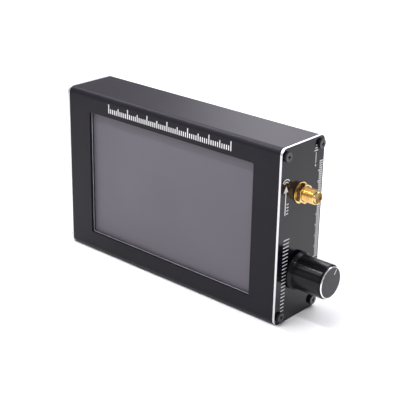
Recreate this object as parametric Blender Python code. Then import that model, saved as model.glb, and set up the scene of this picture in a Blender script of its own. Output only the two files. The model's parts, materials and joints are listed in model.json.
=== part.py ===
"""Pocket spectrum analyzer: extruded case, touch display, push-button rotary encoder and antenna jack.

Sizes and places here are in millimetres, and solid() turns them into metres. +X is to the right of
the display, +Y is to the back and +Z is up. The origin is the middle of the case's bottom face.
"""
import math

import bmesh
import bpy
from mathutils import Vector

# ---------------------------------------------------------------- driving dimensions
CASE_WIDTH = 128.0       # over both end panels
CASE_DEPTH = 29.0
CASE_HEIGHT = 80.0
CORNER_RADIUS = 2.75     # of the sleeve's four long edges
WALL = 1.3
PANEL_THICKNESS = 1.3
GAP = 0.3                # between pieces that touch

WINDOW_WIDTH = 98.5
WINDOW_HEIGHT = 60.9
WINDOW_Z = 40.1          # middle of the window
WINDOW_RADIUS = 0.8

KNOB_RADIUS = 7.7
KNOB_SKIRT_RADIUS = 8.6
KNOB_BACK = 0.95         # gap between the knob and the end panel
KNOB_REACH = 18.2        # from the end panel to the knob's face
KNOB_TRAVEL = 0.5
ENCODER_Z = 22.4         # height of the knob's axis
JACK_Z = 58.0            # height of the antenna jack's axis
JACK_REACH = 9.5
POINTER_ANGLE = math.radians(37)

USB_Z = 56.0
LIGHT_PIPE_Z = 41.0
SWITCH_Z = 24.0          # lower end of the lever's travel
SWITCH_TRAVEL = 2.0
PORT_Y = 1.75            # depth of the left end's ports, behind the main board

# ---------------------------------------------------------------- worked out from them
PANEL_OUT = CASE_WIDTH / 2
PANEL_IN = PANEL_OUT - PANEL_THICKNESS
SLEEVE_END = PANEL_IN - GAP
FRONT = -CASE_DEPTH / 2
BACK = CASE_DEPTH / 2
INNER_Y = BACK - WALL
MID_Z = CASE_HEIGHT / 2


def layer(behind, thickness):
    """Front and back of a layer that follows another one towards the back of the case."""
    return behind + GAP, behind + GAP + thickness


GASKET_Y = layer(FRONT + WALL, 0.5)
TOUCH_Y = layer(GASKET_Y[1], 1.0)
GLASS_Y = layer(TOUCH_Y[1], 0.9)
BACKLIGHT_Y = layer(GLASS_Y[1], 1.1)
TRAY_BACK_Y = layer(BACKLIGHT_Y[1], 0.5)
CARRIER_Y = layer(TRAY_BACK_Y[1], 1.0)
STANDOFF_Y = layer(CARRIER_Y[1], 4.0)
BOARD_Y = layer(STANDOFF_Y[1], 1.6)
ON_BOARD = BOARD_Y[1] + GAP
AXIS_Y = (BOARD_Y[0] + BOARD_Y[1]) / 2     # the jack and the encoder straddle the board

TRAY_WIDTH = 105.5
TRAY_HEIGHT = 67.2
TRAY_WALL = 0.5

SCREW_Y = 11.5           # end panel screws, either side of the middle
SCREW_Z = 3.6            # and this far from the case's bottom and top
SCREW_PLACES = [(y, z) for z in (SCREW_Z, CASE_HEIGHT - SCREW_Z) for y in (-SCREW_Y, SCREW_Y)]
BOSS_RADIUS = 2.7
PILOT_RADIUS = 1.5

RIB_HEIGHT = 2.0
RIB_THICKNESS = 1.0
STANDOFF_PLACES = [(x, z) for z in (8.5, CASE_HEIGHT - 8.5) for x in (-46.0, 46.0)]

BUSHING_RADIUS = 3.5
BUSHING_REACH = 5.0      # beyond the end panel
SHAFT_RADIUS = 3.0
SHAFT_REACH = 14.5
RUNNING_GAP = 0.15       # around pieces that turn or slide in one another
KNOB_RECESS_RADIUS = 6.5
JACK_RADIUS = 3.175

# ---------------------------------------------------------------- materials
MATERIALS = {}


def material(name, colour, roughness, metallic=0.0):
    made = bpy.data.materials.new(name)
    made.use_nodes = True
    shader = made.node_tree.nodes["Principled BSDF"]
    shader.inputs["Base Color"].default_value = (*colour, 1.0)
    shader.inputs["Roughness"].default_value = roughness
    shader.inputs["Metallic"].default_value = metallic
    MATERIALS[name] = made


def make_materials():
    material("anodised_black", (0.030, 0.029, 0.034), 0.42, 0.6)
    material("panel_black", (0.045, 0.044, 0.050), 0.45, 0.6)
    material("knob_black", (0.012, 0.012, 0.014), 0.15, 0.8)
    material("screw_black", (0.010, 0.010, 0.011), 0.35, 0.7)
    material("steel", (0.62, 0.61, 0.59), 0.32, 1.0)
    material("brass", (0.78, 0.57, 0.25), 0.28, 1.0)
    material("gold", (0.90, 0.66, 0.26), 0.22, 1.0)
    material("white_plastic", (0.86, 0.85, 0.82), 0.40)
    material("black_plastic", (0.020, 0.020, 0.022), 0.50)
    material("display_grey", (0.185, 0.178, 0.200), 0.38)
    material("display_glass", (0.10, 0.10, 0.11), 0.10)
    material("light_guide", (0.90, 0.91, 0.92), 0.35)
    material("circuit_board", (0.012, 0.085, 0.045), 0.45)
    material("ribbon_amber", (0.55, 0.25, 0.04), 0.40)
    material("foam_black", (0.018, 0.018, 0.019), 0.90)
    material("cell_silver", (0.60, 0.61, 0.63), 0.35, 0.7)
    material("lead_red", (0.50, 0.02, 0.02), 0.45)
    material("clear_plastic", (0.80, 0.84, 0.86), 0.12)


# ---------------------------------------------------------------- shapes as (points, faces)
def circle(radius, segments, centre=(0.0, 0.0), turn=0.0):
    angles = [turn + 2 * math.pi * i / segments for i in range(segments)]
    return [(centre[0] + radius * math.cos(a), centre[1] + radius * math.sin(a)) for a in angles]


def rectangle(low, high):
    return [(low[0], low[1]), (high[0], low[1]), (high[0], high[1]), (low[0], high[1])]


def rounded(width, height, radius, centre, segments=5):
    """Outline of a rectangle with round corners."""
    points = []
    for quarter, (sx, sy) in enumerate(((1, 1), (-1, 1), (-1, -1), (1, -1))):
        corner_x = centre[0] + sx * (width / 2 - radius)
        corner_y = centre[1] + sy * (height / 2 - radius)
        for i in range(segments + 1):
            angle = math.pi / 2 * (quarter + i / segments)
            points.append((corner_x + radius * math.cos(angle), corner_y + radius * math.sin(angle)))
    return points


def hexagon(across_flats, centre):
    return circle(across_flats / math.sqrt(3), 6, centre, math.pi / 6)


def prism(outline, axis, low, high):
    """An outline in the other two axes, in X, Y, Z order, carried from low to high along an axis."""
    place = {
        "X": lambda a, b, along: (along, a, b),
        "Y": lambda a, b, along: (a, along, b),
        "Z": lambda a, b, along: (a, b, along),
    }[axis]
    count = len(outline)
    points = [place(a, b, along) for along in (low, high) for a, b in outline]
    sides = [(i, (i + 1) % count, count + (i + 1) % count, count + i) for i in range(count)]
    return points, [tuple(range(count)), tuple(range(count, 2 * count)), *sides]


def box(low, high):
    return prism(rectangle(low[:2], high[:2]), "Z", low[2], high[2])


def turned(profile, segments, y, z):
    """A profile of (x, radius) points turned about a line along X. It is closed when it isn't on the line."""
    points, rings = [], []
    for x, radius in profile:
        start = len(points)
        if radius == 0:
            points.append((x, y, z))
            rings.append([start] * segments)
            continue
        points += [(x, y + a, z + b) for a, b in circle(radius, segments)]
        rings.append(list(range(start, start + segments)))
    if profile[0][1] > 0:
        rings.append(rings[0])
    faces = []
    for near, far in zip(rings, rings[1:]):
        for i in range(segments):
            j = (i + 1) % segments
            face = dict.fromkeys((near[i], near[j], far[j], far[i]))
            if len(face) > 2:
                faces.append(tuple(face))
    return points, faces


def joined(*shapes):
    """Several separate shapes as one."""
    points, faces = [], []
    for shape_points, shape_faces in shapes:
        offset = len(points)
        points += shape_points
        faces += [tuple(offset + i for i in face) for face in shape_faces]
    return points, faces


# ---------------------------------------------------------------- objects
GROUPS = {}


def group(name, origin=(0.0, 0.0, 0.0), parent=None):
    """An empty that carries one moving body, standing on that body's joint."""
    empty = bpy.data.objects.new(name, None)
    bpy.context.scene.collection.objects.link(empty)
    empty.parent = parent
    above = GROUPS[parent.name][1] if parent else Vector()
    GROUPS[name] = (empty, Vector(origin))
    empty.location = (Vector(origin) - above) * 0.001


def solid(name, shape, look, body="housing"):
    """A closed mesh object in metres, parented to its body's empty."""
    empty, origin = GROUPS[body]
    points, faces = shape
    mesh = bpy.data.meshes.new(name)
    mesh.from_pydata([(Vector(p) - origin) * 0.001 for p in points], [], faces)
    work = bmesh.new()
    work.from_mesh(mesh)
    bmesh.ops.recalc_face_normals(work, faces=work.faces)
    work.to_mesh(mesh)
    work.free()
    made = bpy.data.objects.new(name, mesh)
    bpy.context.scene.collection.objects.link(made)
    made.parent = empty
    mesh.materials.append(MATERIALS[look])
    finish(made)
    return made


def finish(made):
    made.data.shade_smooth()
    made.data.set_sharp_from_angle(angle=math.radians(32))


def combine(target, shape, operation):
    """Cuts a shape from an object, or joins it on."""
    tool = solid("tool", shape, "steel", target.parent.name)
    modifier = target.modifiers.new(operation, "BOOLEAN")
    modifier.operation = operation
    modifier.solver = "EXACT"
    modifier.object = tool
    bpy.context.view_layer.update()
    graph = bpy.context.evaluated_depsgraph_get()
    mesh = bpy.data.meshes.new_from_object(target.evaluated_get(graph))
    target.modifiers.clear()
    target.data = mesh
    bpy.data.objects.remove(tool)
    mesh.materials.clear()
    finish(target)


def cut(target, *shapes):
    look = target.data.materials[0]
    combine(target, joined(*shapes), "DIFFERENCE")
    target.data.materials.append(look)


def join(target, *shapes):
    look = target.data.materials[0]
    for shape in shapes:
        combine(target, shape, "UNION")
    target.data.materials.append(look)


def as_shape(made):
    """An object's mesh as a shape again, in millimetres, after which the object is gone."""
    points = [made.matrix_world @ v.co * 1000 for v in made.data.vertices]
    faces = [tuple(p.vertices) for p in made.data.polygons]
    bpy.data.objects.remove(made)
    return points, faces


# ---------------------------------------------------------------- case
def case_sleeve():
    """Extruded sleeve: screw bosses in its corners, and two ribs above and below hold the board."""
    over = 5.0
    inner = rounded(CASE_DEPTH - 2 * WALL, CASE_HEIGHT - 2 * WALL, CORNER_RADIUS - WALL, (0, MID_Z))
    cavity = solid("cavity", prism(inner, "X", -SLEEVE_END - over, SLEEVE_END + over), "steel")
    ends = (-SLEEVE_END - 2 * over, SLEEVE_END + 2 * over)
    ribs = []
    for low, high in ((0.0, WALL + RIB_HEIGHT), (CASE_HEIGHT - WALL - RIB_HEIGHT, CASE_HEIGHT)):
        for y in (BOARD_Y[0] - GAP - RIB_THICKNESS, BOARD_Y[1] + GAP):
            ribs.append(prism(rectangle((y, low), (y + RIB_THICKNESS, high)), "X", *ends))
    bosses = [prism(circle(BOSS_RADIUS, 24, place), "X", *ends) for place in SCREW_PLACES]
    cut(cavity, *ribs, *bosses)

    outer = rounded(CASE_DEPTH, CASE_HEIGHT, CORNER_RADIUS, (0, MID_Z), 6)
    sleeve = solid("case_sleeve", prism(outer, "X", -SLEEVE_END, SLEEVE_END), "anodised_black")
    window = rounded(WINDOW_WIDTH, WINDOW_HEIGHT, WINDOW_RADIUS, (0, WINDOW_Z), 3)
    cut(sleeve, as_shape(cavity))
    cut(
        sleeve,
        *[prism(circle(PILOT_RADIUS, 12, place), "X", *ends) for place in SCREW_PLACES],
        prism(window, "Y", FRONT - over, FRONT + WALL + 1.0),
    )


def end_panel(name, side, openings):
    outline = rounded(CASE_DEPTH, CASE_HEIGHT, CORNER_RADIUS, (0, MID_Z), 6)
    near, far = sorted((side * PANEL_IN, side * PANEL_OUT))
    panel = solid(name, prism(outline, "X", near, far), "panel_black")
    through = [prism(opening, "X", near - 1, far + 1) for opening in openings]
    screw_holes = [
        prism(circle(PILOT_RADIUS + 0.1, 16, place), "X", near - 1, far + 1) for place in SCREW_PLACES
    ]
    cut(panel, *through, *screw_holes)


def end_panels():
    end_panel("right_end_panel", 1, [
        circle(BUSHING_RADIUS + GAP, 32, (AXIS_Y, ENCODER_Z)),
        circle(JACK_RADIUS + GAP, 32, (AXIS_Y, JACK_Z)),
    ])
    lever_top = SWITCH_Z + LEVER_HEIGHT / 2 + SWITCH_TRAVEL + GAP
    lever_bottom = SWITCH_Z - LEVER_HEIGHT / 2 - GAP
    lever_side = LEVER_DEPTH / 2 + GAP
    end_panel("left_end_panel", -1, [
        rounded(USB_DEPTH + 2 * GAP, USB_HEIGHT + 2 * GAP, USB_RADIUS + GAP, (PORT_Y, USB_Z)),
        circle(LIGHT_PIPE_RADIUS + GAP, 20, (PORT_Y, LIGHT_PIPE_Z)),
        rectangle((PORT_Y - lever_side, lever_bottom), (PORT_Y + lever_side, lever_top)),
    ])


def cross_recess(x_floor, x_out, y, z, length, width):
    bars = []
    for half_y, half_z in ((length / 2, width / 2), (width / 2, length / 2)):
        near, far = sorted((x_floor, x_out))
        bars.append(box((near, y - half_y, z - half_z), (far, y + half_y, z + half_z)))
    return bars


def panel_screws():
    """Low-head screws: a flat top with a rounded edge, a plain shank for the thread, and a cross recess."""
    head, edge, radius, shank = 0.9, 0.3, 2.2, 7.0
    for side, label in ((1, "right"), (-1, "left")):
        under = PANEL_OUT + GAP
        top = under + head
        profile = [
            (under - shank, 0), (under - shank, 0.9), (under - shank + 0.5, 1.2), (under, 1.2),
            (under, radius), (top - edge, radius), (top - 0.09, radius - 0.12), (top, radius - edge),
            (top, 0),
        ]
        profile = [(side * x, r) for x, r in profile]
        for number, (y, z) in enumerate(SCREW_PLACES, 1):
            name = f"{label}_panel_screw_{number}"
            screw = solid(name, turned(profile, 20, y, z), "screw_black")
            for bar in cross_recess(side * (top - 0.7), side * (top + 1), y, z, 2.2, 0.55):
                cut(screw, bar)


# ---------------------------------------------------------------- display
def display():
    centre = (0, WINDOW_Z)
    lip = 0.25
    outside = rounded(TRAY_WIDTH - 1.0, TRAY_HEIGHT - 1.6, 1.0, centre, 3)
    opening = rounded(WINDOW_WIDTH - 2 * lip, WINDOW_HEIGHT - 2 * lip, WINDOW_RADIUS, centre, 3)
    gasket = solid("window_gasket", prism(outside, "Y", *GASKET_Y), "foam_black")
    cut(gasket, prism(opening, "Y", GASKET_Y[0] - 1, GASKET_Y[1] + 1))

    touch = rounded(TRAY_WIDTH - 0.4, TRAY_HEIGHT - 0.8, 0.8, centre, 3)
    solid("touch_panel", prism(touch, "Y", *TOUCH_Y), "display_grey")

    inside_width = TRAY_WIDTH - 2 * TRAY_WALL
    inside_height = TRAY_HEIGHT - 2 * TRAY_WALL
    pane = rounded(inside_width - 2 * GAP, inside_height - 2 * GAP, 0.6, centre, 2)
    solid("display_glass", prism(pane, "Y", *GLASS_Y), "display_glass")
    solid("display_backlight", prism(pane, "Y", *BACKLIGHT_Y), "light_guide")

    tray = solid(
        "display_frame",
        prism(rounded(TRAY_WIDTH, TRAY_HEIGHT, 1.0, centre, 3), "Y", GLASS_Y[0], TRAY_BACK_Y[1]),
        "steel",
    )
    hollow = rounded(inside_width, inside_height, 0.8, centre, 3)
    cut(tray, prism(hollow, "Y", GLASS_Y[0] - 1, TRAY_BACK_Y[0]))


def display_carrier():
    """Board behind the display, held off the main board by four clinched hexagon standoffs."""
    carrier = rounded(108.0, CASE_HEIGHT - 8.0, 1.5, (0, MID_Z), 3)
    solid("display_carrier_board", prism(carrier, "Y", *CARRIER_Y), "circuit_board")
    head_y = BOARD_Y[1] + GAP
    shank_tip = STANDOFF_Y[0] + 0.8
    for number, (x, z) in enumerate(STANDOFF_PLACES, 1):
        post = solid(f"standoff_{number}", prism(hexagon(4.5, (x, z)), "Y", *STANDOFF_Y), "brass")
        cut(post, prism(circle(1.2, 16, (x, z)), "Y", STANDOFF_Y[0] - 1, STANDOFF_Y[1] + 1))
        screw = solid(
            f"board_screw_{number}", prism(circle(1.9, 16, (x, z)), "Y", head_y, head_y + 1.2), "steel"
        )
        join(screw, prism(circle(0.9, 12, (x, z)), "Y", shank_tip, head_y + 0.4))
        slot = box((x - 1.2, head_y + 0.7, z - 0.3), (x + 1.2, head_y + 2, z + 0.3))
        cross = box((x - 0.3, head_y + 0.7, z - 1.2), (x + 0.3, head_y + 2, z + 1.2))
        cut(screw, slot)
        cut(screw, cross)


def display_ribbon():
    """Flat flexible cable folded in a loop between the two boards' sockets."""
    width, thickness, top = 22.0, 0.2, 34.0
    socket_depth, socket_height, socket_z = 1.2, 4.0, 20.0
    front = CARRIER_Y[1] + GAP
    back = BOARD_Y[0] - GAP
    half = width / 2 + 1.0
    for name, y in (("display_ribbon_socket", front), ("board_ribbon_socket", back - socket_depth)):
        body = box((-half, y, socket_z), (half, y + socket_depth, socket_z + socket_height))
        solid(name, body, "white_plastic")
    start = socket_z + socket_height + GAP
    near, far = front + 0.5, back - 0.5
    middle, radius = (near + far) / 2, (far - near) / 2
    arc = [math.pi * i / 12 for i in range(13)]
    outer = [(middle - radius * math.cos(a), top + radius * math.sin(a)) for a in arc]
    thin = radius - thickness
    inner = [(middle - thin * math.cos(a), top + thin * math.sin(a)) for a in arc]
    feet = [(far, start), (far - thickness, start)]
    loop = [(near, start), *outer, *feet, *reversed(inner), (near + thickness, start)]
    solid("display_ribbon", prism(loop, "X", -width / 2, width / 2), "ribbon_amber")


# ---------------------------------------------------------------- main board and battery
ENCODER_WIDTH = 11.6
ENCODER_HEIGHT = 12.4
ENCODER_BACK = 55.6
BOARD_RIGHT = 60.0
BOARD_LEFT = -60.5


def main_board():
    bottom, top = WALL + GAP, CASE_HEIGHT - WALL - GAP
    outline = rectangle((BOARD_LEFT, bottom), (BOARD_RIGHT, top))
    board = solid("main_board", prism(outline, "Y", *BOARD_Y), "circuit_board")
    margin = 0.6
    notch = box(
        (ENCODER_BACK - margin, BOARD_Y[0] - 1, ENCODER_Z - ENCODER_HEIGHT / 2 - margin),
        (BOARD_RIGHT + 1, BOARD_Y[1] + 1, ENCODER_Z + ENCODER_HEIGHT / 2 + margin),
    )
    through = ("Y", BOARD_Y[0] - 1, BOARD_Y[1] + 1)
    holes = [prism(circle(1.2, 16, place), *through) for place in STANDOFF_PLACES]
    cut(board, notch, *holes)

    shield_low, shield_high = (18.0, 46.0), (52.0, 68.0)
    wall, shield_back = 0.4, ON_BOARD + 3.5
    can = prism(rectangle(shield_low, shield_high), "Y", ON_BOARD, shield_back)
    shield = solid("rf_shield", can, "steel")
    inside = rectangle(
        (shield_low[0] + wall, shield_low[1] + wall), (shield_high[0] - wall, shield_high[1] - wall)
    )
    cut(shield, prism(inside, "Y", ON_BOARD - 1, shield_back - wall))

    chips = {
        "synthesizer_chip": ((40.0, 60.0), 5.0, 0.9),
        "mixer_chip": ((28.0, 56.0), 4.0, 0.9),
        "processor_chip": ((32.0, 22.0), 12.0, 1.4),
    }
    for name, ((x, z), size, thickness) in chips.items():
        outline = rounded(size, size, 0.3, (x, z), 2)
        solid(name, prism(outline, "Y", ON_BOARD, ON_BOARD + thickness), "black_plastic")


BATTERY_RIGHT = 12.0
PLUG_CENTRE = (18.0, 36.0)
PLUG_DEPTH = 5.0


def battery():
    centre = (-18.0, 40.0)
    length = 2 * (BATTERY_RIGHT - centre[0])
    pad_y = (INNER_Y - GAP - 0.5, INNER_Y - GAP)
    cell_y = (pad_y[0] - GAP - 6.9, pad_y[0] - GAP)
    solid("battery_cell", prism(rounded(length, 50.0, 2.0, centre, 3), "Y", *cell_y), "cell_silver")
    solid("battery_pad", prism(rounded(44.0, 36.0, 1.0, centre, 2), "Y", *pad_y), "foam_black")

    half_x, half_z = 3.0, 3.6
    x, z = PLUG_CENTRE
    plug_back = ON_BOARD + PLUG_DEPTH
    plug = box((x - half_x, ON_BOARD, z - half_z), (x + half_x, plug_back, z + half_z))
    solid("battery_plug", plug, "white_plastic")
    middle = (cell_y[0] + cell_y[1]) / 2
    for name, look, offset in (
        ("battery_lead_positive", "lead_red", 1.0), ("battery_lead_negative", "black_plastic", -1.0)
    ):
        start = Vector((BATTERY_RIGHT + GAP, middle, 44.0 + 2 * offset))
        end = Vector((x + offset, plug_back + GAP, z))
        battery_lead(name, look, start, end)


def battery_lead(name, look, start, end):
    """A wire from the cell's edge, bending down into the back of its plug."""
    radius, steps, sides = 0.6, 14, 8
    pull = (Vector((6.0, 0.0, 0.0)), Vector((0.0, 4.5, 0.0)))
    controls = (start, start + pull[0], end + pull[1], end)
    centres = []
    for i in range(steps + 1):
        t = i / steps
        weights = ((1 - t) ** 3, 3 * t * (1 - t) ** 2, 3 * t * t * (1 - t), t ** 3)
        centres.append(sum((c * w for c, w in zip(controls, weights)), Vector()))
    points, faces = [], []
    side = Vector((0.0, 0.0, 1.0))
    for i, centre in enumerate(centres):
        if i in (0, steps):
            along = (pull[0] if i == 0 else -pull[1]).normalized()
        else:
            along = (centres[i + 1] - centres[i - 1]).normalized()
        across = along.cross(side).normalized()
        up = across.cross(along)
        points += [centre + across * (radius * a) + up * (radius * b) for a, b in circle(1.0, sides)]
    for i in range(steps):
        for j in range(sides):
            k = (j + 1) % sides
            faces.append((i * sides + j, i * sides + k, (i + 1) * sides + k, (i + 1) * sides + j))
    faces += [tuple(range(sides)), tuple(range(steps * sides, (steps + 1) * sides))]
    solid(name, (points, faces), look)


# ---------------------------------------------------------------- left end's ports and switch
USB_HEIGHT = 8.94
USB_DEPTH = 3.26
USB_RADIUS = 1.5
USB_LENGTH = 7.3
LIGHT_PIPE_RADIUS = 1.4
LEVER_HEIGHT = 2.0
LEVER_DEPTH = 1.5
LEVER_REACH = 2.2
SLIDER_HEIGHT = 4.4
SLIDER_DEPTH = 2.2
SWITCH_HEIGHT = 10.0
SWITCH_DEPTH = 3.2


def usb_port():
    mouth = -PANEL_OUT + 0.1
    end = mouth + USB_LENGTH
    centre = (PORT_Y, USB_Z)
    outside = rounded(USB_DEPTH, USB_HEIGHT, USB_RADIUS, centre, 5)
    shell = solid("usb_socket", prism(outside, "X", mouth, end), "steel")
    wall = 0.35
    bore = rounded(USB_DEPTH - 2 * wall, USB_HEIGHT - 2 * wall, USB_RADIUS - wall, centre, 5)
    cut(shell, prism(bore, "X", mouth - 1, end + 1))

    margin = 2 * (wall + GAP)
    block = rounded(USB_DEPTH - margin, USB_HEIGHT - margin, 0.8, centre, 3)
    tongue = solid("usb_tongue", prism(block, "X", end - 1.6, end - 0.2), "black_plastic")
    blade = box((mouth + 1.0, PORT_Y - 0.35, USB_Z - 3.35), (end - 1.0, PORT_Y + 0.35, USB_Z + 3.35))
    join(tongue, blade)


def charge_light():
    inner, tip = -58.6, -PANEL_OUT - 0.15
    radius = LIGHT_PIPE_RADIUS
    profile = [(inner, 0), (inner, radius), (tip + 0.3, radius), (tip + 0.08, radius - 0.4), (tip, 0)]
    solid("charge_light_pipe", turned(profile, 20, PORT_Y, LIGHT_PIPE_Z), "clear_plastic")
    low = (inner + GAP, ON_BOARD, LIGHT_PIPE_Z - 0.8)
    high = (inner + GAP + 0.9, ON_BOARD + 2.4, LIGHT_PIPE_Z + 0.8)
    solid("charge_led", box(low, high), "white_plastic")


def power_switch():
    """Slide switch: the lever's wide foot runs in a closed track, and its finger stands out of the panel."""
    front, back = -SLEEVE_END, -SLEEVE_END + 5.2
    middle_z = SWITCH_Z + SWITCH_TRAVEL / 2
    low_z, high_z = middle_z - SWITCH_HEIGHT / 2, middle_z + SWITCH_HEIGHT / 2
    half = SWITCH_DEPTH / 2
    block = box((front, PORT_Y - half, low_z), (back, PORT_Y + half, high_z))
    housing = solid("power_switch_body", block, "steel")
    foot_front, foot_back = front + 1.0, front + 2.6

    def block_around(near, far, depth, height, play=0.0, travel=0.0):
        low = (near, PORT_Y - depth / 2 - play, SWITCH_Z - height / 2 - play)
        high = (far, PORT_Y + depth / 2 + play, SWITCH_Z + height / 2 + travel + play)
        return box(low, high)

    room = (RUNNING_GAP, SWITCH_TRAVEL)
    foot_size = (SLIDER_DEPTH, SLIDER_HEIGHT)
    finger_size = (LEVER_DEPTH, LEVER_HEIGHT)
    cut(housing, block_around(foot_front - RUNNING_GAP, foot_back + RUNNING_GAP, *foot_size, *room))
    cut(housing, block_around(front - 1, foot_front, *finger_size, *room))

    foot = block_around(foot_front, foot_back, *foot_size)
    lever = solid("power_switch_lever", foot, "black_plastic", "switch_lever")
    join(lever, block_around(-PANEL_OUT - LEVER_REACH, foot_front + 0.8, *finger_size))


# ---------------------------------------------------------------- antenna jack
def antenna_jack():
    y, z = AXIS_Y, JACK_Z
    flange_in, flange_out = PANEL_IN - GAP - 2.0, PANEL_IN - GAP
    tip = PANEL_OUT + JACK_REACH
    body = solid("jack_body", prism(hexagon(8.0, (y, z)), "X", flange_in, flange_out), "gold")
    thread = [(flange_in + 0.5, 0), (flange_in + 0.5, JACK_RADIUS - 0.2)]
    pitch, crest = 1.6, JACK_RADIUS
    x = PANEL_OUT + 0.4
    thread.append((x, crest - 0.2))
    while x + pitch < tip - 0.3:
        thread += [(x + 0.4, crest), (x + 1.0, crest), (x + 1.4, crest - 0.25)]
        x += pitch
    thread += [(tip - 0.35, crest), (tip, crest - 0.35), (tip, 0)]
    join(body, turned(thread, 32, y, z))
    gap_to_board = BOARD_Y[1] + GAP - y
    for side_y in (-1, 1):
        for side_z in (-1, 1):
            near, far = sorted((y + side_y * gap_to_board, y + side_y * (gap_to_board + 1.0)))
            middle = z + side_z * 2.4
            leg = box((flange_in - 4.0, near, middle - 0.5), (flange_in + 0.6, far, middle + 0.5))
            join(body, leg)
    bore = [(flange_in - 1, 0), (flange_in - 1, 2.3), (tip + 1, 2.3), (tip + 1, 0)]
    cut(body, turned(bore, 24, y, z))

    core = [
        (flange_in + 0.2, 0.9), (flange_in + 0.2, 2.0), (tip - 2.0, 2.0), (tip - 2.0, 0.9),
    ]
    solid("jack_insulator", turned(core, 24, y, z), "white_plastic")
    contact = [
        (flange_in, 0), (flange_in, 0.6), (tip - 1.6, 0.6), (tip - 1.6, 0.4), (tip - 4.0, 0.4),
        (tip - 4.0, 0),
    ]
    solid("jack_contact", turned(contact, 16, y, z), "gold")

    washer_and_nut("jack", JACK_RADIUS + GAP, 4.7, 8.0, z, "gold")


def washer_and_nut(name, bore_radius, washer_radius, across_flats, z, look):
    """A washer on the right end panel and a hexagon nut over it."""
    washer_in = PANEL_OUT + GAP
    nut_in = washer_in + WASHER_THICKNESS + GAP
    washer = turned(
        [
            (washer_in, bore_radius), (washer_in, washer_radius),
            (washer_in + WASHER_THICKNESS, washer_radius), (washer_in + WASHER_THICKNESS, bore_radius),
        ],
        32, AXIS_Y, z,
    )
    solid(f"{name}_washer", washer, look)
    block = prism(hexagon(across_flats, (AXIS_Y, z)), "X", nut_in, nut_in + NUT_THICKNESS)
    nut = solid(f"{name}_nut", block, look)
    cut(nut, prism(circle(bore_radius, 32, (AXIS_Y, z)), "X", nut_in - 1, nut_in + NUT_THICKNESS + 1))


# ---------------------------------------------------------------- encoder
HEEL_RADIUS = 2.0        # the shaft's rear end, keyed into the rotor
HEEL_FLAT = 1.4
SHAFT_FLAT = 1.5         # flat that keys the knob
FLAT_START = PANEL_OUT + 7.5
WASHER_THICKNESS = 0.5
NUT_THICKNESS = 2.0


def encoder():
    y, z = AXIS_Y, ENCODER_Z
    plate_out = PANEL_IN - GAP
    plate_in = plate_out - 1.2
    bushing_tip = PANEL_OUT + BUSHING_REACH
    half_y, half_z = ENCODER_WIDTH / 2, ENCODER_HEIGHT / 2
    bore_radius = SHAFT_RADIUS + RUNNING_GAP

    plate = box((plate_in, y - half_y, z - half_z), (plate_out, y + half_y, z + half_z))
    bushing = solid("encoder_bushing", plate, "steel")
    tube = [
        (plate_in + 0.4, 0), (plate_in + 0.4, BUSHING_RADIUS), (bushing_tip - 0.4, BUSHING_RADIUS),
        (bushing_tip, BUSHING_RADIUS - 0.3), (bushing_tip, 0),
    ]
    join(bushing, turned(tube, 32, y, z))
    cut(bushing, prism(circle(bore_radius, 32, (y, z)), "X", plate_in - 1, bushing_tip + 1))

    base_front = plate_in - GAP
    block = box((ENCODER_BACK, y - half_y, z - half_z), (base_front, y + half_y, z + half_z))
    base = solid("encoder_base", block, "black_plastic")
    pocket = circle(4.9, 32, (y, z))
    floor = ENCODER_BACK + 1.0
    cut(base, prism(pocket, "X", floor, base_front + 1))

    dome_x = floor + GAP
    dome = [(dome_x, 0), (dome_x, 2.6), (dome_x + 0.15, 2.6), (dome_x + 0.4, 1.5), (dome_x + 0.45, 0)]
    solid("encoder_dome", turned(dome, 20, y, z), "steel")

    rotor_in = dome_x + 1.1
    rotor_out = rotor_in + 1.3
    disc = prism(circle(4.5, 32, (y, z)), "X", rotor_in, rotor_out)
    rotor = solid("encoder_rotor", disc, "white_plastic", "rotor")
    keyway = flatted(HEEL_RADIUS + RUNNING_GAP, HEEL_FLAT + RUNNING_GAP, (y, z))
    cut(rotor, prism(keyway, "X", rotor_in - 1, rotor_out + 1))

    heel = dome_x + 0.45 + KNOB_TRAVEL + 0.15
    collar_in, collar_out = rotor_out + KNOB_TRAVEL + 0.15, plate_in - 0.4
    tip = PANEL_OUT + SHAFT_REACH
    key = prism(flatted(HEEL_RADIUS, HEEL_FLAT, (y, z)), "X", heel, collar_in + 0.2)
    shaft = solid("encoder_shaft", key, "steel", "knob")
    journal = [
        (collar_in, 0), (collar_in, 4.0), (collar_out, 4.0), (collar_out, SHAFT_RADIUS),
        (FLAT_START + 0.2, SHAFT_RADIUS), (FLAT_START + 0.2, 0),
    ]
    join(shaft, turned(journal, 32, y, z))
    join(shaft, prism(flatted(SHAFT_RADIUS - 0.02, SHAFT_FLAT, (y, z)), "X", FLAT_START, tip))

    washer_and_nut("encoder", BUSHING_RADIUS + GAP, 5.8, 10.0, z, "steel")


def flatted(radius, flat, centre, segments=32):
    """A circle with one flat side, at a distance below its middle."""
    half = math.acos(flat / radius)
    start = -math.pi / 2 + half
    sweep = 2 * (math.pi - half)
    angles = [start + sweep * i / segments for i in range(segments + 1)]
    return [(centre[0] + radius * math.cos(a), centre[1] + radius * math.sin(a)) for a in angles]


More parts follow.
